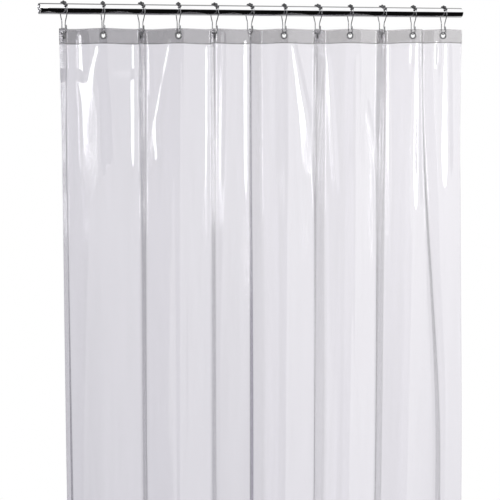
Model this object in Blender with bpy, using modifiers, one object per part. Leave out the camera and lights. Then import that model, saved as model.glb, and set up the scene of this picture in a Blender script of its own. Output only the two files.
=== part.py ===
"""Clear vinyl shower curtain, hung from a chromed rod by twelve roller hooks.

Metres, +Z up. The rod lies along X with its mid-length at the origin, and the room side is -Y.
"""

import math

import bmesh
import bpy
from mathutils import Matrix, Vector

# --- rod ---
ROD_LENGTH = 1.1686
ROD_DIAMETER = 0.0254
ROD_WALL = 0.0012

# --- film sheet: flat size, before it is gathered on the hooks ---
FILM_WIDTH = 1.778
FILM_HEIGHT = 1.829
FILM_THICKNESS = 0.00025
FOLD_RADIUS = 0.012

# --- header band along the top edge ---
HEADER_HEIGHT = 0.032
HEADER_THICKNESS = 0.0004

# --- hooks ---
HOOK_COUNT = 12
ROD_END_SPARE = 0.05685
HOOK_RUN_SHIFT = 0.00185
WIRE_DIAMETER = 0.0024
BEAD_DIAMETER = 0.0064
BEAD_COUNT = 5
BEAD_GAP = 0.0020823
ARCH_SLACK = 0.0018
NECK_HALF_WIDTH = 0.0096
HOOK_REACH = 0.0437
HOOK_SLANT = math.radians(46.89)
HANG_TILT = math.radians(-0.088)

# --- grommets ---
EDGE_TO_GROMMET = 0.0508
GROMMET_HOLE = 0.0115
GROMMET_BARREL_WALL = 0.0007
GROMMET_RIM = 0.0035
GROMMET_FLANGE_THICKNESS = 0.0009
GROMMET_TO_TOP_EDGE = 0.00475
WIRE_TO_HOLE_TOP = 0.00175

FIT = 0.00025
ROLLING_GAP = 0.0003
MM = 0.001

# 'b' strips run from the wall side to the room side, 'r' strips come back again
STRIPS = "rbrbrrbrbrbb"

WIRE_R = WIRE_DIAMETER / 2
BEAD_R = BEAD_DIAMETER / 2
HOOK_PITCH = (ROD_LENGTH - 2 * ROD_END_SPARE) / (HOOK_COUNT - 1)
FIRST_HOOK_X = HOOK_RUN_SHIFT - HOOK_PITCH * (HOOK_COUNT - 1) / 2
GROMMET_PITCH = (FILM_WIDTH - 2 * EDGE_TO_GROMMET) / (HOOK_COUNT - 1)
GROMMET_FLANGE = GROMMET_HOLE + 2 * GROMMET_RIM
ARCH_RADIUS = ROD_DIAMETER / 2 + ROLLING_GAP + BEAD_R + ARCH_SLACK
ARCH_Z = -ARCH_SLACK
BEAD_STEP = (BEAD_DIAMETER + BEAD_GAP) / ARCH_RADIUS
HOOK_BOTTOM_Z = -(ROD_DIAMETER / 2 + HOOK_REACH)
GROMMET_Z = HOOK_BOTTOM_Z - (GROMMET_HOLE / 2 - WIRE_R - WIRE_TO_HOLE_TOP)
TOP_Z = GROMMET_Z + GROMMET_FLANGE / 2 + GROMMET_TO_TOP_EDGE
BOTTOM_Z = TOP_Z - FILM_HEIGHT
BARREL_R = GROMMET_HOLE / 2 + GROMMET_BARREL_WALL
HEADER_OFFSET = FILM_THICKNESS / 2 + FIT + HEADER_THICKNESS / 2
STACK_BACK = HEADER_OFFSET + HEADER_THICKNESS / 2

for old in list(bpy.data.objects):
    bpy.data.objects.remove(old, do_unlink=True)

PARTS = bpy.data.collections.new("shower_curtain")
CUTTERS = bpy.data.collections.new("cutters")
bpy.context.scene.collection.children.link(PARTS)
bpy.context.scene.collection.children.link(CUTTERS)


def material(name, colour, roughness, metallic):
    """A plain Principled material."""
    mat = bpy.data.materials.new(name)
    mat.use_nodes = True
    shader = mat.node_tree.nodes["Principled BSDF"]
    shader.inputs["Base Color"].default_value = (*colour, 1.0)
    shader.inputs["Roughness"].default_value = roughness
    shader.inputs["Metallic"].default_value = metallic
    return mat


ROD_CHROME = material("rod_chrome", (0.80, 0.80, 0.82), 0.08, 1.0)
WIRE_CHROME = material("wire_chrome", (0.72, 0.72, 0.74), 0.15, 1.0)
BEAD_CHROME = material("bead_chrome", (0.55, 0.55, 0.57), 0.18, 1.0)
GROMMET_NICKEL = material("grommet_nickel", (0.66, 0.66, 0.68), 0.25, 1.0)
WASHER_NICKEL = material("washer_nickel", (0.60, 0.60, 0.62), 0.30, 1.0)
FILM_VINYL = material("film_vinyl", (0.86, 0.85, 0.90), 0.12, 0.0)
HEADER_VINYL = material("header_vinyl", (0.62, 0.61, 0.64), 0.35, 0.0)


def add(name, mesh, mat=None, collection=PARTS):
    """Put a mesh in the scene as a named object."""
    obj = bpy.data.objects.new(name, mesh)
    if mat is not None:
        mesh.materials.clear()
        mesh.materials.append(mat)
    collection.objects.link(obj)
    if collection is CUTTERS:
        obj.hide_render = True
        obj.display_type = "WIRE"
    return obj


def applied(obj):
    """The object's mesh with every modifier applied."""
    bpy.context.view_layer.update()
    graph = bpy.context.evaluated_depsgraph_get()
    return bpy.data.meshes.new_from_object(obj.evaluated_get(graph), depsgraph=graph)


def smooth(mesh):
    """Shade every face smooth."""
    mesh.polygons.foreach_set("use_smooth", [True] * len(mesh.polygons))


def turned(name, profile, steps, mat, collection=PARTS):
    """A closed ring turned about local Z from a closed profile of (radius, height) points."""
    mesh = bpy.data.meshes.new(name)
    points = [(r, 0.0, z) for r, z in profile]
    edges = [(i, (i + 1) % len(points)) for i in range(len(points))]
    mesh.from_pydata(points, edges, [])
    obj = add(name, mesh, None, collection)
    screw = obj.modifiers.new("turn", "SCREW")
    screw.axis = "Z"
    screw.steps = steps
    screw.render_steps = steps
    screw.use_merge_vertices = True
    screw.merge_threshold = 0.00001
    result = applied(obj)
    bpy.data.objects.remove(obj, do_unlink=True)
    face_outward(result)
    smooth(result)
    return add(name, result, mat, collection)


def face_outward(mesh):
    """Make every face of a closed mesh look outward."""
    bm = bmesh.new()
    bm.from_mesh(mesh)
    bmesh.ops.recalc_face_normals(bm, faces=bm.faces)
    bm.to_mesh(mesh)
    bm.free()


def tube(name, points, radii, sides, mat, collection=PARTS):
    """A capped round tube along points, with a radius at each point."""
    curve = bpy.data.curves.new(name, "CURVE")
    curve.dimensions = "3D"
    curve.bevel_depth = 1.0
    curve.bevel_resolution = (sides - 4) // 2
    curve.use_fill_caps = True
    curve.twist_mode = "MINIMUM"
    spline = curve.splines.new("POLY")
    spline.points.add(len(points) - 1)
    for spot, point, radius in zip(spline.points, points, radii):
        spot.co = (*point, 1.0)
        spot.radius = radius
    obj = bpy.data.objects.new(name, curve)
    collection.objects.link(obj)
    mesh = applied(obj)
    bpy.data.objects.remove(obj, do_unlink=True)
    bm = bmesh.new()
    bm.from_mesh(mesh)
    bmesh.ops.remove_doubles(bm, verts=bm.verts, dist=0.000001)
    bmesh.ops.recalc_face_normals(bm, faces=bm.faces)
    bm.to_mesh(mesh)
    bm.free()
    smooth(mesh)
    return add(name, mesh, mat, collection)


def cut(obj, cutters):
    """Take the cutters out of the object."""
    for cutter in cutters:
        step = obj.modifiers.new("cut", "BOOLEAN")
        step.operation = "DIFFERENCE"
        step.solver = "EXACT"
        step.object = cutter
    mesh = applied(obj)
    obj.modifiers.clear()
    obj.data = mesh
    return obj


# --- plan of the gathered film -------------------------------------------------------------

def strip_angle():
    """Angle between a strip and the rod that uses up one grommet pitch of film per hook pitch."""
    low = 0.2
    high = 1.4
    for _ in range(60):
        mid = (low + high) / 2
        used = HOOK_PITCH / math.cos(mid) - 2 * FOLD_RADIUS * (math.tan(mid) - mid)
        if used < GROMMET_PITCH:
            low = mid
        else:
            high = mid
    return (low + high) / 2


STRIP_ANGLE = strip_angle()
HOOK_YAW = STRIP_ANGLE - HOOK_SLANT
SIGN = {"r": 1.0, "b": -1.0}


def hook_x(index):
    """Place of a hook along the rod."""
    return FIRST_HOOK_X + HOOK_PITCH * index


def plan_corners():
    """Corners of the zig-zag plan with the radius of the fold at each one."""
    rise = math.tan(STRIP_ANGLE)
    reach = EDGE_TO_GROMMET * math.cos(STRIP_ANGLE)
    first = SIGN[STRIPS[0]]
    last = SIGN[STRIPS[-1]]
    corners = [(hook_x(0) - reach, -first * reach * rise, 0.0)]
    for i in range(HOOK_COUNT - 1):
        here = SIGN[STRIPS[i]]
        following = SIGN[STRIPS[i + 1]]
        if here != following:
            half = HOOK_PITCH / 2
            corners.append((hook_x(i) + half, here * half * rise, FOLD_RADIUS))
        else:
            quarter = HOOK_PITCH / 4
            corners.append((hook_x(i) + quarter, here * quarter * rise, FOLD_RADIUS / 2))
            corners.append((hook_x(i + 1) - quarter, -here * quarter * rise, FOLD_RADIUS / 2))
    corners.append((hook_x(HOOK_COUNT - 1) + reach, last * reach * rise, 0.0))
    return corners


def plan_line(offset, steps=7):
    """Plan of the film as points with rounded folds, moved sideways by offset (+ is the wall side)."""
    corners = plan_corners()
    line = []
    for i, (x, y, radius) in enumerate(corners):
        here = Vector((x, y))
        if radius == 0.0:
            other = corners[1] if i == 0 else corners[-2]
            along = Vector((other[0], other[1])) - here
            along.normalize()
            if i:
                along = -along
            line.append(here + Vector((-along.y, along.x)) * offset)
            continue
        before = (Vector(corners[i - 1][:2]) - here).normalized()
        after = (Vector(corners[i + 1][:2]) - here).normalized()
        bisector = (before + after).normalized()
        centre = here + bisector * (radius / math.cos(STRIP_ANGLE))
        outward = 1.0 if bisector.y < 0 else -1.0
        turn = 2 * STRIP_ANGLE
        bulge = radius + outward * offset
        for k in range(steps + 1):
            angle = -outward * (k / steps - 0.5) * turn
            spoke = Matrix.Rotation(angle, 2) @ (-bisector)
            line.append(centre + spoke * bulge)
    return line


def ribbon(name, offset, thickness, levels, mat):
    """A thin closed sheet standing on the plan, between the heights in levels."""
    line = plan_line(offset)
    verts = [(p.x, p.y, z) for z in levels for p in line]
    count = len(line)
    faces = []
    for row in range(len(levels) - 1):
        for i in range(count - 1):
            low = row * count + i
            faces.append((low, low + count, low + count + 1, low + 1))
    mesh = bpy.data.meshes.new(name)
    mesh.from_pydata(verts, [], faces)
    obj = add(name, mesh, mat)
    solid = obj.modifiers.new("thickness", "SOLIDIFY")
    solid.thickness = thickness
    solid.offset = 0.0
    solid.use_even_offset = True
    obj.data = applied(obj)
    obj.modifiers.clear()
    face_outward(obj.data)
    smooth(obj.data)
    return obj


# --- rod -----------------------------------------------------------------------------------

rod = turned(
    "rod",
    [
        (ROD_DIAMETER / 2 - ROD_WALL, -ROD_LENGTH / 2),
        (ROD_DIAMETER / 2, -ROD_LENGTH / 2),
        (ROD_DIAMETER / 2, ROD_LENGTH / 2),
        (ROD_DIAMETER / 2 - ROD_WALL, ROD_LENGTH / 2),
    ],
    48,
    ROD_CHROME,
)
rod.rotation_euler = (0.0, math.pi / 2, 0.0)

# --- film and header -----------------------------------------------------------------------

film = ribbon(
    "film_sheet",
    0.0,
    FILM_THICKNESS,
    [BOTTOM_Z, (TOP_Z + BOTTOM_Z) / 2, TOP_Z - 0.09, TOP_Z],
    FILM_VINYL,
)
header = ribbon(
    "header_band",
    HEADER_OFFSET,
    HEADER_THICKNESS,
    [TOP_Z - HEADER_HEIGHT, TOP_Z],
    HEADER_VINYL,
)

punches = []
for i in range(HOOK_COUNT):
    bpy.ops.mesh.primitive_cylinder_add(vertices=16, radius=BARREL_R + FIT, depth=0.008)
    punch = bpy.context.object
    punch.name = f"punch_{i + 1:02d}"
    for home in list(punch.users_collection):
        home.objects.unlink(punch)
    CUTTERS.objects.link(punch)
    punch.hide_render = True
    punch.display_type = "WIRE"
    turn = SIGN[STRIPS[i]] * STRIP_ANGLE
    punch.matrix_world = (
        Matrix.Translation((hook_x(i), 0.0, GROMMET_Z))
        @ Matrix.Rotation(turn, 4, "Z")
        @ Matrix.Rotation(math.pi / 2, 4, "X")
    )
    punches.append(punch)
cut(film, punches)
cut(header, punches)

# --- hooks ---------------------------------------------------------------------------------

def arch_point(angle):
    """A point on the arch over the rod, with angle 0 at the top and + towards the room."""
    return Vector((0.0, -ARCH_RADIUS * math.sin(angle), ARCH_Z + ARCH_RADIUS * math.cos(angle)))


# the wire over the rod, and the bore of the beads that roll on it
ARCH_LINE = [arch_point(math.radians(90 - 20 * k)) for k in range(10)]


def wire_points():
    """Centre line of one hook, from its room-side clasp over the rod and through the grommet."""
    side = WIRE_R + FIT
    neck = NECK_HALF_WIDTH
    wide = ARCH_RADIUS
    low = HOOK_BOTTOM_Z
    clasp = low + 0.0224
    throat = clasp + 0.007
    shoulder = ARCH_Z - ARCH_RADIUS * 0.4
    flank = shoulder + (throat - shoulder) * 0.555
    front = [
        (-side, -neck - 0.0042, low + 0.0124),
        (-side, -neck - 0.0018, low + 0.0132),
        (-side, -neck - 0.0002, low + 0.0159),
        (-side, -neck, clasp),
        (-side * 0.6, -neck - 0.0006, throat),
        (-side * 0.3, -neck - 0.0040, flank),
        (0.0, -wide + 0.0008, shoulder),
    ]
    arch = [tuple(point) for point in ARCH_LINE]
    back = [
        (0.0, wide - 0.0008, shoulder),
        (0.0, neck + 0.0040, flank),
        (0.0, neck + 0.0006, throat),
        (0.0, neck, clasp),
    ]
    rounds = []
    for k in range(9):
        angle = math.pi * k / 8
        y = neck * math.cos(angle)
        z = low + neck * (1 - math.sin(angle))
        ease = max(0.0, (k - 4) / 4)
        rounds.append((side * ease, y, z))
    tail = [(side, -neck, low + 0.0179), (side, -neck + 0.0009, low + 0.0204)]
    return front + arch + back + rounds + tail


def bead_stations():
    """Points and radii along the arch for beads joined by thin necks."""
    points = []
    radii = []
    neck = WIRE_R + ROLLING_GAP + 0.0005
    half = BEAD_R / ARCH_RADIUS
    for k in range(BEAD_COUNT):
        middle = (BEAD_COUNT - 1 - 2 * k) / 2 * BEAD_STEP
        for share, size in ((0.93, neck), (0.6, BEAD_R * 0.82), (0.0, BEAD_R), (-0.6, BEAD_R * 0.82), (-0.93, neck)):
            points.append(arch_point(middle + share * half))
            radii.append(size)
    return points, radii


def grommet_parts(label):
    """The eyelet with its barrel, and the washer behind it, both turned about local Z."""
    hole = GROMMET_HOLE / 2
    flange = GROMMET_FLANGE / 2
    thick = GROMMET_FLANGE_THICKNESS
    front = FILM_THICKNESS / 2 + FIT
    back = STACK_BACK + FIT
    end = back + thick
    eyelet = turned(
        f"eyelet_{label}",
        [
            (hole, -end),
            (BARREL_R, -end),
            (BARREL_R, front),
            (flange, front),
            (flange - thick * 0.3, front + thick * 0.7),
            ((flange + hole) / 2, front + thick),
            (hole + thick * 0.3, front + thick * 0.7),
        ],
        12,
        GROMMET_NICKEL,
    )
    washer = turned(
        f"washer_{label}",
        [
            (BARREL_R + FIT, -end),
            (BARREL_R + FIT, -back),
            (flange, -back),
            (flange - thick * 0.4, -end),
        ],
        12,
        WASHER_NICKEL,
    )
    return eyelet, washer


line = wire_points()
bead_line, bead_radii = bead_stations()

for i in range(HOOK_COUNT):
    label = f"{i + 1:02d}"
    sign = SIGN[STRIPS[i]]
    place = (hook_x(i), 0.0, 0.0)
    yaw = (0.0, 0.0, sign * HOOK_YAW)
    wire = tube(f"hook_wire_{label}", line, [WIRE_R] * len(line), 6, WIRE_CHROME)
    beads = tube(f"hook_beads_{label}", bead_line, bead_radii, 6, BEAD_CHROME)
    bore = tube(
        f"bore_{label}", ARCH_LINE, [WIRE_R + ROLLING_GAP] * len(ARCH_LINE), 6, None, CUTTERS
    )
    bore.hide_render = True
    bore.display_type = "WIRE"
    cut(beads, [bore])
    face_outward(beads.data)
    for piece in (wire, beads, bore):
        piece.location = place
        piece.rotation_euler = yaw
    for ring in grommet_parts(label):
        ring.matrix_world = (
            Matrix.Translation((hook_x(i), 0.0, GROMMET_Z))
            @ Matrix.Rotation(sign * STRIP_ANGLE, 4, "Z")
            @ Matrix.Rotation(math.pi / 2, 4, "X")
        )

# --- what hangs leans by a hair, so that its weight is straight under the rod's axis --------

hang = bpy.data.objects.new("hang", None)
PARTS.objects.link(hang)
for piece in list(PARTS.objects):
    if piece not in (hang, rod):
        piece.parent = hang
hang.rotation_euler = (HANG_TILT, 0.0, 0.0)
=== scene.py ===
"""Looks for a clear vinyl shower curtain, hung from a chromed rod by roller-bead hooks.

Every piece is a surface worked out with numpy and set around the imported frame. Metres, +Z up.
"""

import math

import bpy
import numpy as np
from bpy.props import FloatProperty, FloatVectorProperty, IntProperty, PointerProperty
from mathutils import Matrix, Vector


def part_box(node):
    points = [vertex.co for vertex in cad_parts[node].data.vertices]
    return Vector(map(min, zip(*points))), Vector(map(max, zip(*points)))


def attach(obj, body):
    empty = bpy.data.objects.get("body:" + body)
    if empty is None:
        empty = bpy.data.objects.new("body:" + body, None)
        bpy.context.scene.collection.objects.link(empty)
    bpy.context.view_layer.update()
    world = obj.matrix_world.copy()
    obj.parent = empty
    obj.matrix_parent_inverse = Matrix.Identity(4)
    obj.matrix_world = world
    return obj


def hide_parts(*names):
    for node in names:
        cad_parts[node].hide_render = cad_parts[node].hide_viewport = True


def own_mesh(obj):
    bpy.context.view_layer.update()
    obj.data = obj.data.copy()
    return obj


bl_info = {
    "name": "Clear Shower Curtain",
    "version": (1, 0, 0),
    "blender": (4, 5, 0),
    "location": "View3D > Sidebar > Shower Curtain",
    "description": "Builds a clear vinyl shower curtain, its hooks, grommets and rod",
    "category": "Object",
}

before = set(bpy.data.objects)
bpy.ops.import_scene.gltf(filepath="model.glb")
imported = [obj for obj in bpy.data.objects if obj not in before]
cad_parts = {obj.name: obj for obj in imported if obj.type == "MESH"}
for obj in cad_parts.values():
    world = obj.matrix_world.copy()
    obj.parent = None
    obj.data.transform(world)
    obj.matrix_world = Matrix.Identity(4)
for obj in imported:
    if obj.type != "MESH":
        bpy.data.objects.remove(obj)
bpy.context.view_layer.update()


# --- what the frame gives ---

LABELS = sorted(name[-2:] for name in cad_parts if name.startswith("hook_wire_"))


def middle(node):
    """Middle of a node's box."""
    low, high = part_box(node)
    return (np.array(low) + np.array(high)) / 2


def extent(node):
    """Size of a node's box along X, Y and Z."""
    low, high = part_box(node)
    return np.array(high) - np.array(low)


HOOK_X = np.array([middle(f"hook_beads_{label}")[0] for label in LABELS])
HOOK_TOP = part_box("hook_beads_01")[1][2]
HOOK_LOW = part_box("hook_wire_01")[0][2]
GROMMET_Z = middle("eyelet_01")[2]
GROMMET_SPAN = extent("eyelet_01")[2]
FILM_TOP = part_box("film_sheet")[1][2]
FILM_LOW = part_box("film_sheet")[0][2]
GROMMET_DROP = FILM_TOP - GROMMET_Z
HEADER_DEEP = extent("header_band")[2]
ROD_LONG = extent("rod")[0]
ROD_ROUND = extent("rod")[2]
PITCH = float(np.diff(HOOK_X).mean())

# 'b' strips run from the wall side to the room side, 'r' strips come back again
STRIPS = "rbrbrrbrbrbb"
TURN = np.array([1.0 if strip == "r" else -1.0 for strip in STRIPS])

BORE_SLACK = 0.0002  # a bead's bore and a sheet's hole are this much wider than what they take
WIRE_GAP = 0.00025  # from the hook's middle to the side of the wire that passes it
EYELET_FRONT = 0.00037  # from the film's middle to the flange
EYELET_BACK = 0.00102  # from the film's middle to the washer
HEADER_BEHIND = 0.00058  # from the film's middle to the header's
HEADER_THICK = 0.0004
WELD_BEHIND, WELD_THICK = 0.0003, 0.00062  # from the film's middle to the weld's, and its half
WELD_SIDES = 12
FLOOR_Z = FILM_LOW - 0.12
FLOOR_RINGS, FLOOR_SPOKES = 24, 72


# --- sizes and colours that a user would change ---


class RodSettings(bpy.types.PropertyGroup):
    """Sizes and finish of the rod."""

    wall: FloatProperty(
        name="Wall", description="Wall of the rod's tube", default=0.0012, unit="LENGTH"
    )
    sides: IntProperty(name="Sides", description="Faces round the rod", default=96, min=24)
    colour: FloatVectorProperty(
        name="Chrome", description="Colour of the rod's chrome", subtype="COLOR",
        default=(0.92, 0.92, 0.93), min=0.0, max=1.0,
    )
    roughness: FloatProperty(
        name="Roughness", description="Roughness of the rod's chrome", default=0.045
    )


class HookSettings(bpy.types.PropertyGroup):
    """Sizes and finish of the hooks and their beads."""

    wire: FloatProperty(
        name="Wire", description="Diameter of the hook's wire", default=0.0024, unit="LENGTH"
    )
    bead: FloatProperty(
        name="Bead", description="Diameter of a roller bead", default=0.0064, unit="LENGTH"
    )
    beads: IntProperty(name="Beads", description="Beads on each hook", default=5, min=1)
    bead_step: FloatProperty(
        name="Bead step", description="Angle between beads", subtype="ANGLE",
        default=math.radians(27.0),
    )
    arch: FloatProperty(
        name="Arch", description="Radius of the arch over the rod", default=0.018, unit="LENGTH"
    )
    neck: FloatProperty(
        name="Neck", description="Half the width below the rod", default=0.0096, unit="LENGTH"
    )
    yaw: FloatProperty(
        name="Yaw", description="Turn towards the film's strip", subtype="ANGLE",
        default=math.radians(7.0),
    )
    # The dark default is painted shade: the hooks' chrome is darkened so that it mirrors the room
    # as grey.
    colour: FloatVectorProperty(
        name="Chrome", description="Colour of the hooks' chrome", subtype="COLOR",
        default=(0.24, 0.24, 0.25), min=0.0, max=1.0,
    )
    roughness: FloatProperty(
        name="Roughness", description="Roughness of the hooks' chrome", default=0.14
    )


class GrommetSettings(bpy.types.PropertyGroup):
    """Sizes and finish of the grommets."""

    hole: FloatProperty(
        name="Hole", description="Diameter of the eyelet's hole", default=0.0115, unit="LENGTH"
    )
    wall: FloatProperty(
        name="Barrel wall", description="Wall of the barrel", default=0.0007, unit="LENGTH"
    )
    thick: FloatProperty(
        name="Flange", description="Thickness of the flange", default=0.0009, unit="LENGTH"
    )
    # The dark default is painted shade: the nickel is darkened so that the rings read dark instead
    # of mirroring the softbox.
    colour: FloatVectorProperty(
        name="Nickel", description="Colour of the grommets", subtype="COLOR",
        default=(0.19, 0.19, 0.195), min=0.0, max=1.0,
    )
    roughness: FloatProperty(
        name="Roughness", description="Roughness of the grommets", default=0.22
    )


class FilmSettings(bpy.types.PropertyGroup):
    """Sizes, folds and finish of the film and its header."""

    width: FloatProperty(
        name="Width", description="Flat width of the sheet", default=1.778, unit="LENGTH"
    )
    height: FloatProperty(
        name="Height", description="Flat height of the sheet", default=1.829, unit="LENGTH"
    )
    thick: FloatProperty(
        name="Thickness", description="Thickness of the film", default=0.00025, unit="LENGTH"
    )
    grommet_pitch: FloatProperty(
        name="Grommet pitch", description="Flat distance between grommets", default=0.1524,
        unit="LENGTH",
    )
    fold: FloatProperty(
        name="Fold radius", description="Radius of a fold at the top", default=0.0042, unit="LENGTH"
    )
    seat_fold: FloatProperty(
        name="Even fold radius", description="Fold radius that the grommets' turn is made for",
        default=0.012, unit="LENGTH",
    )
    loose_fold: FloatProperty(
        name="Loose fold radius", description="Radius of a fold lower down", default=0.0046,
        unit="LENGTH",
    )
    sag: FloatProperty(
        name="Sag", description="Drop of the top edge between hooks", default=0.0024, unit="LENGTH"
    )
    peak: FloatProperty(
        name="Pull", description="How far the top edge is pulled up", default=0.0024, unit="LENGTH"
    )
    flare: FloatProperty(
        name="Flare", description="How far the right end opens out low down", default=0.034,
        unit="LENGTH",
    )
    ripple: FloatProperty(
        name="Ripple", description="Height of the slow ripple", default=0.0005, unit="LENGTH"
    )
    tint: FloatVectorProperty(
        name="Film tint", description="Light that one face of the film lets through",
        subtype="COLOR", default=(0.945, 0.936, 0.957), min=0.0, max=1.0,
    )
    header_tint: FloatVectorProperty(
        name="Header tint", description="Light that one face of the header lets through",
        subtype="COLOR", default=(0.855, 0.855, 0.84), min=0.0, max=1.0,
    )
    roughness: FloatProperty(
        name="Roughness", description="Roughness of the film's gloss", default=0.07
    )


class StudioSettings(bpy.types.PropertyGroup):
    """Camera and floor."""

    azimuth: FloatProperty(
        name="Azimuth", description="Turn of the camera round the curtain", subtype="ANGLE",
        default=math.radians(28.0),
    )
    pitch: FloatProperty(
        name="Pitch", description="How far the camera looks down", subtype="ANGLE",
        default=math.radians(8.621),
    )
    distance: FloatProperty(
        name="Distance", description="From the camera to the rod", default=3.4681, unit="LENGTH"
    )
    aside: FloatProperty(
        name="Aside", description="How far the rod's middle is right of the view's middle",
        default=0.0402, unit="LENGTH",
    )
    below: FloatProperty(
        name="Below", description="How far the camera is below the rod", default=0.0661,
        unit="LENGTH",
    )
    lens: FloatProperty(
        name="Lens", description="Focal length on a 36 mm sensor", default=100.58,
        subtype="DISTANCE_CAMERA",
    )
    floor: FloatProperty(
        name="Floor", description="Radius of the floor", default=2.1, unit="LENGTH"
    )


class CurtainSettings(bpy.types.PropertyGroup):
    """Everything that the pieces are made from."""

    rod: PointerProperty(type=RodSettings)
    hook: PointerProperty(type=HookSettings)
    grommet: PointerProperty(type=GrommetSettings)
    film: PointerProperty(type=FilmSettings)
    studio: PointerProperty(type=StudioSettings)


# --- surfaces as arrays ---


def fan(tip, ring):
    """Triangles from a tip to a closed ring of points, in the ring's order."""
    return np.stack([np.full(len(ring), tip), ring, np.roll(ring, -1)], axis=1)


def grid_faces(rows, columns, wrap_rows=False, wrap_columns=False):
    """Quads of a rows by columns grid of points, in row order, closed up where it wraps."""
    r = np.arange(rows if wrap_rows else rows - 1)[:, None]
    c = np.arange(columns if wrap_columns else columns - 1)[None, :]
    r2, c2 = (r + 1) % rows, (c + 1) % columns
    corners = (r * columns + c, r * columns + c2, r2 * columns + c2, r2 * columns + c)
    return np.stack(np.broadcast_arrays(*corners), axis=-1).reshape(-1, 4)


def make_piece(name, verts, quads, mat, caps=()):
    """A smooth mesh object from points, quads and triangular caps, with one material."""
    mesh = bpy.data.meshes.new(name)
    mesh.from_pydata(verts.tolist(), [], quads.tolist() + np.asarray(caps, dtype=int).tolist())
    mesh.polygons.foreach_set("use_smooth", np.ones(len(mesh.polygons), dtype=bool))
    mesh.materials.append(mat)
    mesh.update()
    piece = bpy.data.objects.new(name, mesh)
    bpy.context.scene.collection.objects.link(piece)
    return piece


def joined(parts):
    """Several (points, quads) as one, with the quads counted on."""
    starts = np.cumsum([0] + [len(verts) for verts, _ in parts[:-1]])
    verts = np.concatenate([verts for verts, _ in parts])
    faces = np.concatenate([faces + start for (_, faces), start in zip(parts, starts)])
    return verts, faces


def full_turn(count):
    """Angles at even steps all the way round."""
    return np.linspace(0, 2 * math.pi, count, endpoint=False)


def turned(profile, sides):
    """A closed profile of (radius, height) points carried round local Z: a point is
    (radius cos t, radius sin t, height), with t going all the way round."""
    t = full_turn(sides)[:, None]
    radius, height = profile[None, :, 0], profile[None, :, 1]
    verts = np.stack([radius * np.cos(t), radius * np.sin(t), height + 0 * t], axis=-1)
    faces = grid_faces(sides, len(profile), wrap_rows=True, wrap_columns=True)
    return verts.reshape(-1, 3), faces


def swept(path, across, radii, sides):
    """A round tube: at each path point a circle of that radius, in the plane of two vectors
    square to the path, one of them as near to across as it can be. The ends come to a point."""
    along = np.gradient(path, axis=0)
    along /= np.linalg.norm(along, axis=1, keepdims=True)
    first = across - along * (along @ across)[:, None]
    first /= np.linalg.norm(first, axis=1, keepdims=True)
    second = np.cross(along, first)
    t = full_turn(sides)
    ring = first[:, None] * np.cos(t)[None, :, None] + second[:, None] * np.sin(t)[None, :, None]
    verts = (path[:, None] + ring * radii[:, None, None]).reshape(-1, 3)
    return verts, grid_faces(len(path), sides, wrap_columns=True)


def eased(points, steps):
    """A smooth line through points: between each two it is the cubic whose slopes at both are
    half the step between their neighbours, at steps even shares."""
    points = np.asarray(points, float)
    padded = np.concatenate([[2 * points[0] - points[1]], points, [2 * points[-1] - points[-2]]])
    a, b, c, d = (part[:, None] for part in (padded[:-3], padded[1:-2], padded[2:-1], padded[3:]))
    t = np.linspace(0, 1, steps, endpoint=False)[None, :, None]
    curve = 0.5 * (
        2 * b + (c - a) * t + (2 * a - 5 * b + 4 * c - d) * t**2 + (3 * b - a - 3 * c + d) * t**3
    )
    return np.concatenate([curve.reshape(-1, points.shape[1]), points[-1:]])


def placed(verts, angle, spot):
    """Points turned about Z by angle and moved to spot."""
    c, s = math.cos(angle), math.sin(angle)
    spin = np.array([[c, s, 0.0], [-s, c, 0.0], [0.0, 0.0, 1.0]])
    return verts @ spin + np.asarray(spot)


def on_every_hook(parts, angle, height):
    """A copy of each part on every hook, turned towards the hook's strip. A part is its surface,
    the name of the nodes that it stands for, its material and that material's slot. The slot is not
    used."""
    for label, x, turn in zip(LABELS, HOOK_X, TURN):
        for (verts, faces), node, mat, slot in parts:
            moved = placed(verts, turn * angle, (x, 0.0, height))
            piece = make_piece(f"{node}_visual_{label}", moved, faces, mat)
            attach(piece, f"hook_{label}")
            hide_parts(f"{node}_{label}")


# --- the hung film ---


def smooth_step(x):
    """0 below 0, 1 above 1, and 3x² - 2x³ between."""
    x = np.clip(x, 0.0, 1.0)
    return x * x * (3 - 2 * x)


def strip_angle(film):
    """Angle between a strip and the rod at which a grommet pitch of film, less what its round
    fold saves, spans one hook pitch. Found by halving."""
    low, high = 0.2, 1.4
    for _ in range(50):
        angle = (low + high) / 2
        used = PITCH / math.cos(angle) - 2 * film.seat_fold * (math.tan(angle) - angle)
        low, high = (angle, high) if used < film.grommet_pitch else (low, angle)
    return (low + high) / 2


# For each span between two hooks, the share of its film in each leg: at the top edge, and low
# down. Two legs make one fold, and three make a fold each way.
SPANS = (
    ((0.4, 0.6), (0.353, 0.647)),
    ((0.575, 0.425), (0.549, 0.451)),
    ((0.452, 0.548), (0.416, 0.584)),
    ((0.535, 0.465), (0.516, 0.484)),
    ((0.06, 0.6, 0.34), (0.05, 0.65, 0.3)),
    ((0.572, 0.428), (0.615, 0.385)),
    ((0.515, 0.485), (0.564, 0.436)),
    ((0.543, 0.457), (0.581, 0.419)),
    ((0.474, 0.526), (0.53, 0.47)),
    ((0.525, 0.475), (0.548, 0.452)),
    ((0.16, 0.48, 0.36), (0.47, 0.48, 0.05)),
)
# Headings of the loose margins beyond the first and last hooks, at the top and low down
MARGINS = ((59.0, 50.0), (-50.0, -42.0))
# Half the width of the stretch at a grommet that keeps the grommet's heading
FLAT_ZONE = 0.012
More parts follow.
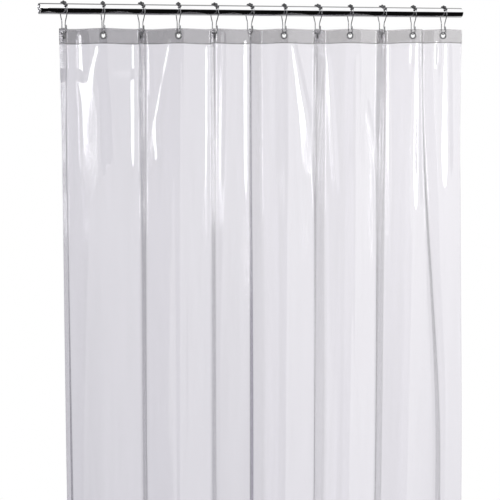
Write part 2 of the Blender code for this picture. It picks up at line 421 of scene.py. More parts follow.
# One over the largest x e to the minus x squared, so a crease's steepest slope is the listed one
BELL_STEEP = 2.331
LOOSE_DROP = 1.15  # drop at which the folds have their low shares
HEADING_HOLD, HEADING_FADE = 0.04, 0.26  # drop with the grommets' heading, and drop it fades over
SOFT_BEND, SOFT_MORE = 0.010, 0.10  # radius of the bends beside a grommet, and its growth low down
LEAST_BEND = 0.004  # the least film that a bend takes
SAG_FADE, PEAK_FADE = 0.5, 0.008  # drops over which the top edge's sag and pull die away
FLARE_DROP = 1.5  # drop at which the right end is fully open
FOLD_REACH, FINE_STEP = 0.006, 0.0015  # film beside a fold with close columns, and their step


def span_legs(film, index, deep):
    """Lengths and headings of a span's legs, for rows that are deep between its top and low
    shares. The odd legs run one way and the even legs the other, so their summed lengths and
    the hook pitch are the sides of a triangle, and its angles at the base are the headings."""
    top, low = (np.array(shares)[:, None] for shares in SPANS[index])
    legs = (top + (low - top) * deep[None, :]) * film.grommet_pitch
    odd, even = legs[0::2].sum(axis=0), legs[1::2].sum(axis=0)
    out = np.arccos(np.clip((odd**2 + PITCH**2 - even**2) / (2 * odd * PITCH), -1, 1))
    back = np.arccos(np.clip((even**2 + PITCH**2 - odd**2) / (2 * even * PITCH), -1, 1))
    sign = TURN[index]
    return legs, [sign * out if k % 2 == 0 else -sign * back for k in range(len(legs))]


def film_bends(film, drop, deep, angle, hooks):
    """Every bend along the sheet, as (place, heading after it, radius), with the heading before
    the first. Next to a grommet the sheet keeps the grommet's own heading, which fades to the
    mean of the legs' on each side of it further down."""
    size = film.fold + (film.loose_fold - film.fold) * deep
    soft = SOFT_BEND + SOFT_MORE * deep
    fade = smooth_step((drop - HEADING_HOLD) / HEADING_FADE)
    level = np.ones_like(deep)
    edges = [math.radians(top) + math.radians(low - top) * deep for top, low in MARGINS]
    spans = [span_legs(film, i, deep) for i in range(len(hooks) - 1)]
    bends = []
    for i, hook in enumerate(hooks):
        left = spans[i - 1][1][-1] if i else edges[0]
        right = spans[i][1][0] if i < len(spans) else edges[1]
        own = TURN[i] * angle
        bends.append(((hook - FLAT_ZONE) * level, own + ((left + right) / 2 - own) * fade, soft))
        bends.append(((hook + FLAT_ZONE) * level, right, soft))
        if i < len(spans):
            legs, headings = spans[i]
            places = hook + np.cumsum(legs, axis=0)
            bends += [(at, after, size) for at, after in zip(places[:-1], headings[1:])]
    return edges[0], bends


def grommet_places(film):
    """The margin at each end of the sheet, and the flat place of each grommet."""
    margin = (film.width - film.grommet_pitch * (len(LABELS) - 1)) / 2
    return margin, margin + film.grommet_pitch * np.arange(len(LABELS))


def beside_grommet(s, hooks):
    """How far each flat place is along the sheet from the grommet nearest to it."""
    return s - hooks[np.abs(s[None, :] - hooks[:, None]).argmin(0)]


def film_points(film, s, drop):
    """The hung film at flat places s (along the width) and drop (down from the top edge).

    Each row's heading starts with the left margin's and ramps to the next one over every bend,
    as far as the bend's radius needs. The row is the running sum of the heading's cosine and
    sine, with a straight-line correction between grommets that puts each of them on its hook.
    A crease turns the heading by the arc tangent of its slope, so it takes up no more film, and
    the right end opens out towards the bottom. Returns points and normals, rows by columns by 3.
    """
    angle = strip_angle(film)
    margin, hooks = grommet_places(film)
    down = drop[:, None]
    deep = smooth_step(drop / LOOSE_DROP)
    before, bends = film_bends(film, drop, deep, angle, hooks)
    heading = before[:, None] + 0 * s[None, :]
    for place, after, radius in bends:
        turn = after - before
        ramp = np.maximum(radius * np.abs(turn), LEAST_BEND)[:, None]
        heading = heading + turn[:, None] * smooth_step((s[None, :] - place[:, None]) / ramp + 0.5)
        before = after
    heading = heading + np.arctan(film_creases(film, s, drop, hooks))
    step = np.diff(s, prepend=s[0])[None, :]
    half = np.concatenate([heading[:, :1], (heading[:, 1:] + heading[:, :-1]) / 2], axis=1)
    x = np.cumsum(np.cos(half) * step, axis=1)
    y = np.cumsum(np.sin(half) * step, axis=1)
    at = np.clip(np.searchsorted(s, hooks), 1, len(s) - 1)
    share = (hooks - s[at - 1]) / (s[at] - s[at - 1])
    off_x = HOOK_X - (x[:, at - 1] * (1 - share) + x[:, at] * share)
    off_y = -(y[:, at - 1] * (1 - share) + y[:, at] * share)
    hats = np.array([np.interp(s, hooks, row) for row in np.eye(len(hooks))])
    x = x + off_x @ hats
    y = y + off_y @ hats
    last = smooth_step((s - hooks[-2]) / (hooks[-1] - hooks[-2]))[None, :]
    x = x + film.flare * smooth_step(down / FLARE_DROP) * last
    normal = np.stack([-np.sin(heading), np.cos(heading), np.zeros_like(heading)], axis=-1)
    gap = (s[None, :] - margin) / film.grommet_pitch
    sag = film.sag * np.sin(math.pi * gap) ** 2 * np.exp(-down / SAG_FADE)
    z = FILM_TOP - down - sag + film.peak * np.exp(-down / PEAK_FADE) + 0 * heading
    return np.stack([x, y, z], axis=-1), normal


# Creases pulled into the film by its weight: hook it belongs to (from 0), place beside it,
# drop where it starts, drop where it ends, sideways slant per metre of drop, half-width at its
# start, widening per metre, and steepness (+ towards the wall).
CREASES = (
    (1, -0.053, 0.0, 0.155, 0.02, 0.0086, 0.012, 0.22),
    (1, -0.006, 0.022, 0.15, -0.24, 0.007, 0.06, 0.24),
    (1, -0.016, 0.082, 0.4, 0.01, 0.034, 0.0, 0.28),
    (1, 0.079, 0.016, 0.42, -0.01, 0.007, 0.0, 0.25),
    (2, 0.077, 0.022, 0.2, 0.03, 0.005, 0.0, 0.33),
    (2, 0.094, 0.225, 0.35, 0.05, 0.0085, 0.0, 0.34),
    (3, -0.0185, 0.02, 0.3, -0.2, 0.0054, 0.016, 0.35),
    (3, 0.004, 0.06, 1.5, -0.008, 0.0036, 0.0, -0.2),
    (3, 0.078, 0.022, 0.58, -0.016, 0.0072, 0.0, 0.32),
    (4, 0.0305, 0.0, 0.43, -0.02, 0.0032, 0.002, 0.14),
    (4, 0.09, 0.016, 0.48, 0.006, 0.0052, 0.0, 0.21),
    (6, 0.0225, 0.02, 0.45, 0.2, 0.005, 0.058, 0.34),
    (8, -0.064, 0.06, 0.46, 0.08, 0.0056, 0.01, 0.5),
    (8, 0.0425, 0.17, 0.4, 0.222, 0.0056, 0.018, 0.5),
    (8, 0.064, 0.33, 0.64, 0.026, 0.0044, 0.006, 0.48),
    (8, 0.017, 0.06, 1.5, 0.012, 0.004, 0.0, -0.2),
    (10, -0.065, 0.03, 0.6, 0.015, 0.0036, 0.002, 0.42),
    (10, -0.001, 0.024, 0.11, 0.0, 0.005, 0.02, 0.42),
    (10, 0.016, 0.022, 0.56, 0.018, 0.007, 0.01, 0.42),
    (11, -0.013, 0.024, 0.11, 0.0, 0.0056, 0.02, 0.52),
    (11, 0.014, 0.02, 0.5, 0.011, 0.0086, 0.012, 0.31),
)
# Patches of fine crinkles: hook, place beside it, drop, half-width, half-height
CRINKLES = (
    (1, -0.036, 0.35, 0.016, 0.055),
    (1, -0.03, 0.23, 0.01, 0.06),
    (2, 0.073, 0.3, 0.007, 0.05),
    (3, 0.064, 0.47, 0.008, 0.09),
    (5, -0.05, 0.56, 0.02, 0.11),
    (6, 0.07, 0.29, 0.014, 0.05),
    (6, -0.004, 0.39, 0.006, 0.06),
    (8, 0.055, 0.28, 0.018, 0.06),
    (8, 0.064, 0.48, 0.01, 0.12),
    (10, -0.062, 0.5, 0.006, 0.11),
    (6, 0.06, 0.52, 0.008, 0.07),
)


def film_creases(film, s, drop, hooks):
    """How steeply the film stands off its row. Each crease is a bell across its slanting centre
    line, e to the minus (distance / half-width) squared, scaled to its steepness, that rises and
    dies smoothly at its ends. A slow ripple of long waves is added everywhere but at the
    grommets."""
    down = drop[:, None]
    near = beside_grommet(s, hooks)[None, :]
    ripple = np.sin(s[None, :] * 61 + 3 * down) * np.sin(s[None, :] * 23 + 1.7 + 2 * down)
    calm = smooth_step((down - 0.03) / 0.10) * smooth_step(np.abs(near) / 0.03)
    slope = np.gradient(film.ripple * ripple * calm, s, axis=1)
    for hook, aside, start, end, slant, wide, widen, steep in CREASES:
        run = np.clip(down - start, 0.0, None)
        across = (s[None, :] - hooks[hook] - aside - slant * run) / (wide + widen * run)
        alive = smooth_step((down - start) / (0.010 + wide))
        alive = alive * smooth_step((end - down) / (end - start) / 0.4)
        slope = slope - BELL_STEEP * steep * alive * across * np.exp(-(across**2))
    return slope


def film_crinkle(s, drop, hooks):
    """How crinkled the film is, from 0 to 1: a bell at each listed patch, e to the minus
    (distance / half-size) squared along both ways, all added up."""
    down = drop[:, None]
    mask = np.zeros((len(drop), len(s)))
    for hook, aside, deep, wide, tall in CRINKLES:
        across = (s[None, :] - hooks[hook] - aside) / wide
        mask = mask + np.exp(-(across**2) - ((down - deep) / tall) ** 2)
    return np.clip(mask, 0.0, 1.0)


def film_grid(film):
    """Flat places of the film's columns and rows: close together at the grommets, wider apart
    between them."""
    margin, hooks = grommet_places(film)
    fine = np.linspace(-FLAT_ZONE, FLAT_ZONE, 13)
    edge = np.linspace(0.0, margin - FLAT_ZONE, 16)[:-1]
    columns = [edge, hooks[-1] + fine, film.width - edge]
    for i, hook in enumerate(hooks[:-1]):
        wide = np.linspace(FLAT_ZONE, film.grommet_pitch - FLAT_ZONE, 46)[1:-1]
        ends = np.cumsum(np.array(SPANS[i]), axis=1)[:, :-1] * film.grommet_pitch
        for low, high in zip(ends.min(axis=0) - FOLD_REACH, ends.max(axis=0) + FOLD_REACH):
            outside = wide[(wide < low) | (wide > high)]
            wide = np.concatenate([outside, np.arange(low, high, FINE_STEP)])
        columns.append(hook + np.concatenate([fine, wide[wide > FLAT_ZONE + 0.0005]]))
    rows = [
        np.linspace(0.0, GROMMET_DROP - FLAT_ZONE, 2)[:-1],
        GROMMET_DROP + fine,
        np.linspace(GROMMET_DROP + FLAT_ZONE, 0.10, 9)[1:],
        np.linspace(0.10, 0.60, 28)[1:],
        np.linspace(0.60, film.height, 17)[1:],
    ]
    return np.unique(np.concatenate(columns)), np.concatenate(rows)


def holed_sheet(points, s, drop, hooks, hole):
    """A grid of points with a round hole at each grommet: corners just inside the hole are
    pushed out to its edge along the flat sheet, and faces that lie wholly inside are left out.
    Returns the points, the faces, and each point's place in the grid."""
    faces = grid_faces(len(drop), len(s))
    below = (drop - GROMMET_DROP)[:, None]
    aside, below = np.broadcast_arrays(beside_grommet(s, hooks)[None, :], below)
    away = np.hypot(aside, below)
    inside = (away < hole).reshape(-1)
    keep = ~inside[faces].all(axis=1)
    rim = np.zeros_like(inside)
    rim[np.unique(faces[keep])] = True
    rim &= inside
    grow = np.where(rim.reshape(away.shape), hole / np.maximum(away, 1e-9), 1.0)
    along = np.gradient(points, axis=1) / np.gradient(s)[None, :, None]
    moved = points + along * (aside * (grow - 1))[..., None]
    moved[..., 2] -= below * (grow - 1)
    used, faces = np.unique(faces[keep][:, ::-1], return_inverse=True)
    return moved.reshape(-1, 3)[used], faces.reshape(-1, 4), used


def flat_map(piece, u, v):
    """A UV map from the flat sheet: U along the width in metres, V down the height in metres."""
    mesh = piece.data
    corners = np.zeros(len(mesh.loops), dtype=np.int32)
    mesh.loops.foreach_get("vertex_index", corners)
    layer = mesh.uv_layers.new(name="flat")
    flat = np.stack([u[corners], v[corners]], axis=1)
    layer.data.foreach_set("uv", flat.astype(np.float32).ravel())


def thicken(piece, thick):
    """Give a sheet its thickness."""
    wall = piece.modifiers.new("thickness", "SOLIDIFY")
    wall.thickness = thick
    wall.offset = 0.0
    wall.use_even_offset = False


# --- materials ---


class Nodes:
    """The node tree of a material or a world, with short ways to add and link its nodes."""

    def __init__(self, owner):
        """Start the owner's tree with nothing in it."""
        owner.use_nodes = True
        self.owner = owner
        self.tree = owner.node_tree
        self.tree.nodes.clear()

    def put(self, socket, value):
        """Link an output to a socket, or set the socket's own value, a colour's as opaque."""
        if isinstance(value, bpy.types.NodeSocket):
            self.tree.links.new(value, socket)
        else:
            socket.default_value = (*value, 1.0) if socket.type == "RGBA" else value

    def add(self, kind, *ordered, **named):
        """A node. Ordered values go to its first sockets, and named ones to its attributes or
        to the sockets of that label."""
        node = self.tree.nodes.new(kind)
        for key, value in named.items():
            if hasattr(node, key):
                setattr(node, key, value)
            else:
                self.put(node.inputs[key.replace("_", " ")], value)
        for socket, value in zip(node.inputs, ordered):
            self.put(socket, value)
        return node

    def noise(self, place, scale, detail, rough=0.5, **more):
        """Cloudy noise, from 0 to 1."""
        node = self.add(
            "ShaderNodeTexNoise", Vector=place, Scale=scale, Detail=detail, Roughness=rough, **more
        )
        return node.outputs["Fac"]

    def stretched(self, place, scale):
        """A place with each of its coordinates scaled."""
        return self.add("ShaderNodeMapping", Vector=place, Scale=scale).outputs["Vector"]

    def maths(self, operation, *values):
        """A sum, product or power of values."""
        return self.add("ShaderNodeMath", *values, operation=operation).outputs[0]

    def ranged(self, value, low, high, at_low=0.0, at_high=1.0, kind="LINEAR"):
        """A value carried over from low and high to what it is at each, and held between."""
        node = self.add(
            "ShaderNodeMapRange", interpolation_type=kind, Value=value, From_Min=low,
            From_Max=high, To_Min=at_low, To_Max=at_high,
        )
        return node.outputs["Result"]

    def mix(self, share, first, second, blend="MIX"):
        """Two colours mixed or blended, with a share of the second."""
        node = self.add(
            "ShaderNodeMix", data_type="RGBA", blend_type=blend, Factor=share, A=first, B=second
        )
        return node.outputs["Result"]

    def bump(self, height, strength, distance, **more):
        """A normal that is tilted by a height."""
        node = self.add(
            "ShaderNodeBump", Strength=strength, Distance=distance, Height=height, **more
        )
        return node.outputs["Normal"]

    def finish(self, shader, kind="Material"):
        """Make a shader the surface, and return what the tree belongs to."""
        self.add(f"ShaderNodeOutput{kind}", Surface=shader.outputs[0])
        return self.owner


def scratched_metal(name, colour, roughness, grain=(1.0, 1.0, 1.0)):
    """Polished metal: fine long scratches and faint cloudy wear vary its roughness, and a very
    low bump breaks up its mirror."""
    n = Nodes(bpy.data.materials.new(name))
    place = n.add("ShaderNodeTexCoord").outputs["Object"]
    lines = n.noise(n.stretched(place, grain), 420.0, 5.0, 0.6)
    cloud = n.noise(place, 36.0, 3.0)
    wear = n.maths("MULTIPLY", lines, cloud)
    shader = n.add(
        "ShaderNodeBsdfPrincipled",
        Metallic=1.0,
        Base_Color=n.mix(cloud, [c * 0.88 for c in colour], colour),
        Roughness=n.ranged(wear, 0.1, 0.45, roughness * 0.6, roughness * 1.7),
        Normal=n.bump(lines, 0.05, 0.0002),
    )
    return n.finish(shader)


def clear_vinyl(name, tint, left, roughness, milk, milk_colour, grain=0.0):
    """Clear film: it lets tinted light straight through, is faintly milky, and mirrors by Fresnel.
    Painted shade in its tint darkens what comes through towards the left end and low down; left
    is the share of light that this painted shade lets through at the left end. Its bump is fine
    creasing, long vertical draw lines and patches of crinkles, and grain adds a woven pressing on a
    header."""
    n = Nodes(bpy.data.materials.new(name))
    flat = n.add("ShaderNodeUVMap", uv_map="flat").outputs["UV"]
    crease = n.noise(flat, 38.0, 6.0, 0.62, Distortion=0.8)
    lines = n.noise(n.stretched(flat, (1.0, 0.06, 1.0)), 60.0, 3.0)
    height = n.maths("MULTIPLY_ADD", crease, 0.55, lines)
    if grain:
        weave = n.add("ShaderNodeTexVoronoi", Scale=900.0, Vector=flat).outputs["Distance"]
        height = n.maths("MULTIPLY_ADD", weave, grain, height)
    crinkled = n.add("ShaderNodeAttribute", attribute_name="crinkle").outputs["Fac"]
    shards = n.maths("MULTIPLY", n.noise(flat, 150.0, 2.0), crinkled)
    tilt = n.bump(height, 0.07, 0.0016, Normal=n.bump(shards, 0.8, 0.0035))
    # what comes through, by the draw lines, with painted shade low down and towards the left end
    shade = n.mix(lines, [c * 0.985 for c in tint], [min(c * 1.015, 1.0) for c in tint])
    split = n.add("ShaderNodeSeparateXYZ", flat)
    # painted shade: what comes through darkens low down
    low = n.ranged(split.outputs["Y"], 0.45, 1.30)
    painted_shade_low_down = n.mix(low, shade, (0.955, 0.955, 0.961), "MULTIPLY")
    # painted shade: what comes through darkens towards the left end, down to left there
    along = n.ranged(split.outputs["X"], 0.15, 1.35)
    painted_shade_left_end = n.mix(along, (left, left, left + 0.01), (1.0, 1.0, 1.0))
    through = n.add("ShaderNodeBsdfTransparent", Color=n.mix(1.0, painted_shade_low_down, painted_shade_left_end, "MULTIPLY"))
    cloudy = n.add("ShaderNodeBsdfTranslucent", Color=milk_colour, Normal=tilt)
    body = n.add("ShaderNodeMixShader", milk, through.outputs[0], cloudy.outputs[0])
    matt = n.ranged(crease, 0.3, 0.7, roughness * 0.7, roughness * 1.5)
    gloss = n.add("ShaderNodeBsdfGlossy", Color=(1.0, 1.0, 1.0), Roughness=matt, Normal=tilt)
    # mirror share: 0.045 square on, and all of it at a grazing look, by the fifth power of how
    # far the surface turns away
    away = n.add("ShaderNodeLayerWeight", Blend=0.5, Normal=tilt).outputs["Facing"]
    mirror = n.maths("MULTIPLY_ADD", n.maths("POWER", away, 5.0), 0.955, 0.045)
    return n.finish(n.add("ShaderNodeMixShader", mirror, body.outputs[0], gloss.outputs[0]))


def studio_floor_paint():
    """Pale matt floor with a faint cloudy tone."""
    n = Nodes(bpy.data.materials.new("studio_floor"))
    cloud = n.noise(n.add("ShaderNodeTexCoord").outputs["Object"], 3.0, 4.0)
    tone = n.mix(cloud, (0.78, 0.78, 0.78), (0.84, 0.84, 0.84))
    return n.finish(n.add("ShaderNodeBsdfPrincipled", Roughness=0.7, Base_Color=tone))


# --- operators ---


def settings():
    """The scene's curtain settings."""
    return bpy.context.scene.curtain


class CURTAIN_OT_rod(bpy.types.Operator):
    """Build the chromed rod: a tube with eased ends"""

    bl_idname = "curtain.rod"
    bl_label = "Rod"

    def execute(self, context):
        """A closed profile of outer wall, two rounded rims and bore, carried round X."""
        rod = settings().rod
        outer, round_off = ROD_ROUND / 2, rod.wall / 2
        inner, end = outer - rod.wall, ROD_LONG / 2 - round_off
        t = np.linspace(0, math.pi, 9)
        rim = np.stack([(outer + inner) / 2 + round_off * np.cos(t), round_off * np.sin(t)], axis=1)
        stations = np.linspace(-end, end, 41)[1:-1]
        wall_out = np.stack([np.full(len(stations), outer), stations], axis=1)
        wall_in = np.stack([np.full(len(stations), inner), stations[::-1]], axis=1)
        top = rim + [0.0, end]
        low = rim[::-1] * [1.0, -1.0] - [0.0, end]
        verts, faces = turned(np.concatenate([wall_out, top, wall_in, low]), rod.sides)
        verts = verts[:, [2, 0, 1]]
        chrome = scratched_metal("rod_chrome", rod.colour, rod.roughness, (0.04, 1.0, 1.0))
        piece = make_piece("rod_tube", verts, faces, chrome)
        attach(piece, "rod")
        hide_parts("rod")
        return {"FINISHED"}


def arch_point(hook, angle, centre):
    """Points on the arch over the rod, with angle 0 at the top and + towards the room."""
    side, up = -hook.arch * np.sin(angle), centre + hook.arch * np.cos(angle)
    return np.stack([0 * angle, side, up], axis=-1)


def hook_line(hook, centre):
    """The wire's centre line: clasp, room-side leg, arch, wall-side leg, round through the
    grommet, and up beside the clasp."""
    side = hook.wire / 2 + WIRE_GAP
    neck, wide = hook.neck, hook.arch
    low = HOOK_LOW + hook.wire / 2
    clasp = [
        (-side, -neck - 0.0042, -0.0440), (-side, -neck - 0.0018, -0.0432),
        (-side, -neck - 0.0002, -0.0405),
    ]
    # each leg's distance from the rod's axis and drop below it, from the arch down
    leg = ((wide - 0.0008, 0.009), (neck + 0.004, 0.019), (neck + 0.0006, 0.027), (neck, 0.034))
    shares = (1.0, 0.6, 0.3, 0.0)
    front = [(-side * share, -out, -down) for share, (out, down) in zip(shares, leg[::-1])]
    arch = arch_point(hook, np.radians(90.0 - 20.0 * np.arange(10)), centre)
    back = [(0.0, out, -down) for out, down in leg]
    turn = np.linspace(0, math.pi, 9)
    ease = np.clip((np.arange(9) - 4) / 4, 0, None)
    loop = np.stack([side * ease, neck * np.cos(turn), low + neck * (1 - np.sin(turn))], axis=1)
    tail = [(side, -neck, -0.0385), (side, -neck + 0.0009, -0.0360)]
    return eased(np.concatenate([clasp, front, arch, back, loop, tail]), 5)


class CURTAIN_OT_hooks(bpy.types.Operator):
    """Build every hook: a bent wire and its run of roller beads"""

    bl_idname = "curtain.hooks"
    bl_label = "Hooks"

    def execute(self, context):
        """The wire is a round tube along its centre line, with its ends drawn in. A bead is a
        circle's arc, closed by its bore, carried round the arch's tangent."""
        hook = settings().hook
        centre = HOOK_TOP - hook.bead / 2 - hook.arch
        wire_chrome = scratched_metal("wire_chrome", hook.colour, hook.roughness, (1.0, 1.0, 0.3))
        # painted shade: the beads are a darker copy of the hooks' chrome, so that they read nearly
        # black
        bead_painted_shade = [c * 0.35 for c in hook.colour]
        bead_chrome = scratched_metal("bead_chrome", bead_painted_shade, hook.roughness * 1.1)
        line = hook_line(hook, centre)
        radii = np.full(len(line), hook.wire / 2)
        radii[[0, -1]] = hook.wire * 0.02
        radii[[1, -2]] = hook.wire * 0.42
        wire = swept(line, np.array([1.0, 0.0, 0.0]), radii, 12)
        bore = hook.wire / 2 + BORE_SLACK
        rest = math.asin(bore / (hook.bead / 2))
        t = np.linspace(rest, math.pi - rest, 11)
        ball = np.stack([hook.bead / 2 * np.sin(t), hook.bead / 2 * np.cos(t)], axis=1)
        ball, ball_faces = turned(ball, 18)
        beads = []
        for angle in (np.arange(hook.beads) - (hook.beads - 1) / 2) * hook.bead_step:
            c, s = math.cos(angle), math.sin(angle)
            # across the arch, outward from it, and along its tangent, where the bore goes
            axes = np.array([[1.0, 0.0, 0.0], [0.0, -s, c], [0.0, -c, -s]])
            beads.append((ball @ axes + arch_point(hook, np.array(angle), centre), ball_faces))
        parts = (
            (wire, "hook_wire", wire_chrome, "wire_chrome"),
            (joined(beads), "hook_beads", bead_chrome, "bead_chrome"),
        )
        on_every_hook(parts, hook.yaw, 0.0)
        return {"FINISHED"}


class CURTAIN_OT_grommets(bpy.types.Operator):
    """Build every grommet: an eyelet with a rolled flange, and its washer"""

    bl_idname = "curtain.grommets"
    bl_label = "Grommets"

    def execute(self, context):
        """The eyelet's profile is a half-round flange that runs into the barrel and ends in a
        rolled lip. The washer's is a flattened ring."""
        kit = settings().grommet
        hole, thick, half_wall = kit.hole / 2, kit.thick, kit.wall / 2
        flange, barrel, end = GROMMET_SPAN / 2, hole + kit.wall, EYELET_BACK + thick
        t = np.linspace(0, math.pi, 11)
        across = (flange + hole) / 2 - (flange - hole) / 2 * np.cos(t)
        roll = np.stack([across, EYELET_FRONT + thick * np.sin(t) ** 0.7], axis=1)
        lip = np.stack([barrel + half_wall * (np.cos(t) - 1), -end - 0.0002 * np.sin(t)], axis=1)
        eyelet = np.concatenate([roll, [(barrel + 0.0001, EYELET_FRONT)], lip])
        q = full_turn(16)
        across = (flange + barrel) / 2 + ((flange - barrel) / 2 - 0.00015) * np.cos(q)
        washer = np.stack([across, -(EYELET_BACK + end) / 2 + thick / 2 * np.sin(q)], axis=1)
        nickel = scratched_metal("grommet_nickel", kit.colour, kit.roughness)
        # painted light: the washer is a lighter copy of the grommets' darkened nickel
        washer_painted_light = [c * 2.2 for c in kit.colour]
        plate = scratched_metal("washer_nickel", washer_painted_light, kit.roughness * 1.2)
        parts = []
        for profile, node, mat, slot in (
            (eyelet, "eyelet", nickel, "grommet_nickel"),
            (washer, "washer", plate, "washer_nickel"),
        ):
            verts, faces = turned(profile, 40)
            # local Z goes to the room side, square to the strip
            verts = verts[:, [0, 2, 1]] * [1.0, -1.0, 1.0]
            parts.append(((verts, faces), node, mat, slot))
        on_every_hook(parts, strip_angle(settings().film), GROMMET_Z)
        return {"FINISHED"}


def gathers(piece):
    """The piece hangs on the drape and gets a mesh of its own."""
    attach(piece, "drape")
    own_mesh(piece)


def hung_sheet(name, s, drop, behind, vinyl):
    """The hung film's surface at flat places s and drop, moved behind along its normals, with a
    hole at each grommet and a flat map. Returns it and its points' places in the grid."""
    film, kit = settings().film, settings().grommet
    points, normal = film_points(film, s, drop)
    hooks, hole = grommet_places(film)[1], kit.hole / 2 + kit.wall + BORE_SLACK
    verts, faces, used = holed_sheet(points + normal * behind, s, drop, hooks, hole)
    piece = make_piece(name, verts, faces, vinyl)
    flat_map(piece, np.tile(s, len(drop))[used], np.repeat(drop, len(s))[used])
    return piece, used


def weld(name, drop, tall, paint):
    """A weld: a flat oval carried along the film's row at a drop, closed at its ends."""
    film = settings().film
    s = film_grid(film)[0]
    ridge, out = film_points(film, s, np.array([drop]))
    turn = full_turn(WELD_SIDES)[None, :, None]
    verts = (
        ridge[0][:, None] + out[0][:, None] * (WELD_BEHIND + WELD_THICK * np.cos(turn))
        + np.array([0.0, 0.0, tall]) * np.sin(turn)
    )
    ends = [verts[0].mean(0), verts[-1].mean(0)]
    count = len(s) * WELD_SIDES
    ring = np.arange(WELD_SIDES)
    caps = np.concatenate([fan(count, ring[::-1]), fan(count + 1, count - WELD_SIDES + ring)])
    verts = np.concatenate([verts.reshape(-1, 3), ends])
    seam = make_piece(name, verts, grid_faces(len(s), WELD_SIDES, wrap_columns=True), paint, caps)
    u = np.concatenate([np.repeat(s, WELD_SIDES), [s[0], s[-1]]])
    v = np.concatenate([np.tile(drop + 0.0002 * ring, len(s)), [drop, drop]])
    flat_map(seam, u, v)
    gathers(seam)


class CURTAIN_OT_film(bpy.types.Operator):
    """Build the clear film, hung in its folds"""

    bl_idname = "curtain.film"
    bl_label = "Film"

    def execute(self, context):
        """The hung film's formula is in film_points."""
        film = settings().film
        s, drop = film_grid(film)
        # left is painted shade: the film lets less light through towards its left end
        vinyl = clear_vinyl(
            "film_vinyl", film.tint, left=0.893, roughness=film.roughness, milk=0.04,
            milk_colour=(0.86, 0.85, 0.90),
        )
        piece, used = hung_sheet("film_hung", s, drop, 0.0, vinyl)
        crinkle = piece.data.attributes.new("crinkle", "FLOAT", "POINT")
        mask = film_crinkle(s, drop, grommet_places(film)[1]).astype(np.float32).reshape(-1)
        crinkle.data.foreach_set("value", mask[used])
        thicken(piece, film.thick)
        gathers(piece)
        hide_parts("film_sheet")
        return {"FINISHED"}


class CURTAIN_OT_header(bpy.types.Operator):
    """Build the grey header band behind the film, and the weld along its lower edge"""

    bl_idname = "curtain.header"
    bl_label = "Header"

    def execute(self, context):
        """The header is the film's top rows moved along their normals."""
        film = settings().film
        s, drop = film_grid(film)
        rows = np.concatenate([drop[drop < HEADER_DEEP - 0.002], [HEADER_DEEP]])
        # left is painted shade: the header lets less light through towards its left end
        vinyl = clear_vinyl(
            "header_vinyl", film.header_tint, left=0.865, roughness=0.22, milk=0.10,
            milk_colour=(0.62, 0.615, 0.61), grain=0.5,
        )
        piece, _ = hung_sheet("header_hung", s, rows, HEADER_BEHIND, vinyl)
        thicken(piece, HEADER_THICK)
        gathers(piece)
        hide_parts("header_band")
        # left is painted shade: the weld lets less light through towards its left end
        paint = clear_vinyl(
            "weld_vinyl", [c * 0.86 for c in film.header_tint], left=0.9, roughness=0.16,
            milk=0.2, milk_colour=(0.60, 0.59, 0.62),
        )
        weld("weld_header", drop=HEADER_DEEP, tall=0.0011, paint=paint)
        weld("weld_hem", drop=film.height - 0.003, tall=0.0016, paint=paint)
        return {"FINISHED"}


def softbox(name, azimuth, distance, height, wide, tall, power, aim_z):
    """A rectangular studio light, azimuth degrees left of the room side, that faces the height
    aim_z below or above the rod's middle."""
    lamp = bpy.data.lights.new(name, "AREA")
    lamp.shape = "RECTANGLE"
    lamp.size = wide
    lamp.size_y = tall
    lamp.energy = power
    obj = bpy.data.objects.new(name, lamp)
    a = math.radians(azimuth)
    obj.location = (-distance * math.sin(a), -distance * math.cos(a), height)
    bpy.context.scene.collection.objects.link(obj)
    away = Vector((0.0, 0.0, aim_z)) - obj.location
    obj.rotation_euler = away.to_track_quat("-Z", "Y").to_euler()


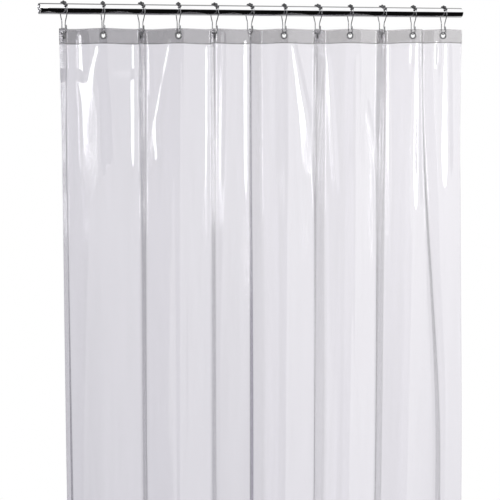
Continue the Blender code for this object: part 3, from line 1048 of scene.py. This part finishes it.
class CURTAIN_OT_stage(bpy.types.Operator):
    """Build the floor, the studio light and the camera"""

    bl_idname = "curtain.stage"
    bl_label = "Stage"

    def execute(self, context):
        """The floor is a disc of rings and spokes. What the eye sees behind is plain white, and
        what polished things mirror is a white room with dark cards at the front."""
        studio = settings().studio
        scene = context.scene
        r = np.linspace(0.02, studio.floor, FLOOR_RINGS)[:, None]
        t = full_turn(FLOOR_SPOKES)[None, :]
        flat = np.stack([r * np.cos(t), r * np.sin(t), FLOOR_Z + 0 * r * t], axis=-1)
        verts = np.concatenate([flat.reshape(-1, 3), [[0.0, 0.0, FLOOR_Z]]])
        quads = grid_faces(FLOOR_RINGS, FLOOR_SPOKES, wrap_columns=True)[:, ::-1]
        centre = fan(len(verts) - 1, np.arange(FLOOR_SPOKES))
        floor = make_piece("studio_floor", verts, quads, studio_floor_paint(), centre)
        floor.visible_glossy = False

        softbox(
            "softbox_low", azimuth=32.0, distance=4.2, height=-0.34, wide=1.48, tall=1.40,
            power=50.0, aim_z=-0.34,
        )
        softbox(
            "softbox_high", azimuth=4.0, distance=3.6, height=1.7, wide=1.6, tall=0.9,
            power=60.0, aim_z=-0.6,
        )

        a = studio.azimuth
        ahead = np.array([math.sin(a), math.cos(a), 0.0])
        right = np.array([math.cos(a), -math.sin(a), 0.0])
        spot = -studio.distance * ahead - studio.aside * right - [0.0, 0.0, studio.below]
        lens = bpy.data.cameras.new("camera")
        lens.lens = studio.lens
        lens.sensor_width = 36.0
        camera = bpy.data.objects.new("camera", lens)
        camera.location = spot
        camera.rotation_euler = (math.pi / 2 - studio.pitch, 0.0, -a)
        scene.collection.objects.link(camera)
        scene.camera = camera

        scene.view_settings.view_transform = "Standard"
        scene.cycles.transparent_max_bounces = 48
        self.room(scene)
        return {"FINISHED"}

    def room(self, scene):
        """A white room as polished things see it: light above the front horizon, a darker
        ceiling behind, black below, a white backdrop low behind, and a glow at the far left.
        What is seen straight on is plain white."""
        world = bpy.data.worlds.new("studio")
        scene.world = world
        n = Nodes(world)
        way = n.add("ShaderNodeTexCoord").outputs["Generated"]
        split = n.add("ShaderNodeSeparateXYZ", way)

        def toward(direction, edge, core, level):
            """A round glow: level inside core degrees of a direction, gone by edge degrees."""
            size = math.sqrt(sum(c * c for c in direction))
            along = tuple(c / size for c in direction)
            near = n.add("ShaderNodeVectorMath", way, along, operation="DOT_PRODUCT")
            low, high = (math.cos(math.radians(angle)) for angle in (edge, core))
            return n.ranged(near.outputs["Value"], low, high, 0.0, level, "SMOOTHSTEP")

        light = n.maths(
            "MULTIPLY",
            n.ranged(split.outputs["Z"], 0.12, 0.34, 0.004, 1.15, "SMOOTHSTEP"),
            n.ranged(split.outputs["Y"], 0.10, 0.35, 1.0, 0.08, "SMOOTHSTEP"),
        )
        for glow in (
            toward((0.45, 0.75, -0.75), edge=50.0, core=30.0, level=0.2),
            toward((0.6, 0.8, -0.10), edge=60.0, core=48.0, level=0.40),
            toward((-1.0, 0.18, -0.10), edge=78.0, core=42.0, level=1.2),
        ):
            light = n.maths("ADD", light, glow)
        lit = n.add("ShaderNodeBackground", Color=light)
        plain = n.add("ShaderNodeBackground", Color=(1.0, 1.0, 1.0))
        eye = n.add("ShaderNodeLightPath").outputs["Is Camera Ray"]
        n.finish(n.add("ShaderNodeMixShader", eye, lit.outputs[0], plain.outputs[0]), "World")


class CURTAIN_PT_panel(bpy.types.Panel):
    """Lists the curtain's sizes and the buttons that build its pieces."""

    bl_label = "Shower Curtain"
    bl_idname = "CURTAIN_PT_panel"
    bl_space_type = "VIEW_3D"
    bl_region_type = "UI"
    bl_category = "Shower Curtain"

    def draw(self, context):
        """One box for each group of sizes, then the buttons."""
        for group in ("rod", "hook", "grommet", "film", "studio"):
            values = getattr(context.scene.curtain, group)
            box = self.layout.box()
            box.label(text=group.capitalize())
            for key in values.bl_rna.properties.keys():
                if key not in ("rna_type", "name"):
                    box.prop(values, key)
        for piece in PIECES:
            self.layout.operator(piece.bl_idname)


PIECES = (
    CURTAIN_OT_rod, CURTAIN_OT_hooks, CURTAIN_OT_grommets,
    CURTAIN_OT_film, CURTAIN_OT_header, CURTAIN_OT_stage,
)
GROUPS = (RodSettings, HookSettings, GrommetSettings, FilmSettings, StudioSettings)
CLASSES = (*GROUPS, CurtainSettings, *PIECES, CURTAIN_PT_panel)


def register():
    """Add the classes and the scene's settings."""
    for cls in CLASSES:
        bpy.utils.register_class(cls)
    bpy.types.Scene.curtain = PointerProperty(type=CurtainSettings)


def unregister():
    """Take the settings and the classes away."""
    del bpy.types.Scene.curtain
    for cls in reversed(CLASSES):
        bpy.utils.unregister_class(cls)


def main():
    """Build every piece and the stage."""
    register()
    bpy.ops.curtain.rod()
    bpy.ops.curtain.hooks()
    bpy.ops.curtain.grommets()
    bpy.ops.curtain.film()
    bpy.ops.curtain.header()
    bpy.ops.curtain.stage()


if __name__ == "__main__":
    main()
